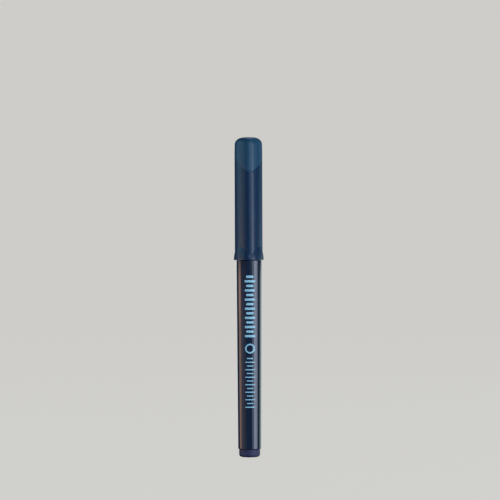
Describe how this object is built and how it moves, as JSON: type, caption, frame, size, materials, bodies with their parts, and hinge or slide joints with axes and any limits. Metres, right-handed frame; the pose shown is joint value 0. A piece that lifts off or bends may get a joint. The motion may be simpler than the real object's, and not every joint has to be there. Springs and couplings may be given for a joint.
{
  "type": "counterfeit detector pen",
  "caption": "Capped fibre-tip marker for checking banknotes: slim tapered barrel, rounded three-sided pull-off cap with a slanting head, chisel nib and pressed-in end plug.",
  "frame": {"origin": "centre of the flat tail face, which the pen stands on", "axes": "+Z along the pen's axis from the tail to the cap's crown; one ridge of the three-sided cap faces -Y"},
  "size_m": [0.0128, 0.0125, 0.137],
  "materials": {
    "barrel_gloss": "high gloss, dark navy",
    "plug_matte": "matte, violet navy",
    "section_black": "satin, near black",
    "nib_felt": "bonded fibre soaked in amber ink",
    "ink_fibre": "loose fibre bundle soaked in amber ink",
    "clear_film": "thin clear film",
    "cap_satin": "satin, dark blue",
    "seal_plastic": "natural, milky"
  },
  "bodies": {
    "pen": {"barrel": "barrel_gloss", "end_plug": "plug_matte", "front_section": "section_black", "nib": "nib_felt", "ink_reservoir": "ink_fibre", "reservoir_film": "clear_film"},
    "cap": {"cap_shell": "cap_satin", "inner_cap": "seal_plastic"}
  },
  "joints": [
    {"name": "cap_slide", "type": "slide", "parent": "pen", "child": "cap", "axis": [0, 0, 1], "range_m": [0, 0.055]}
  ]
}
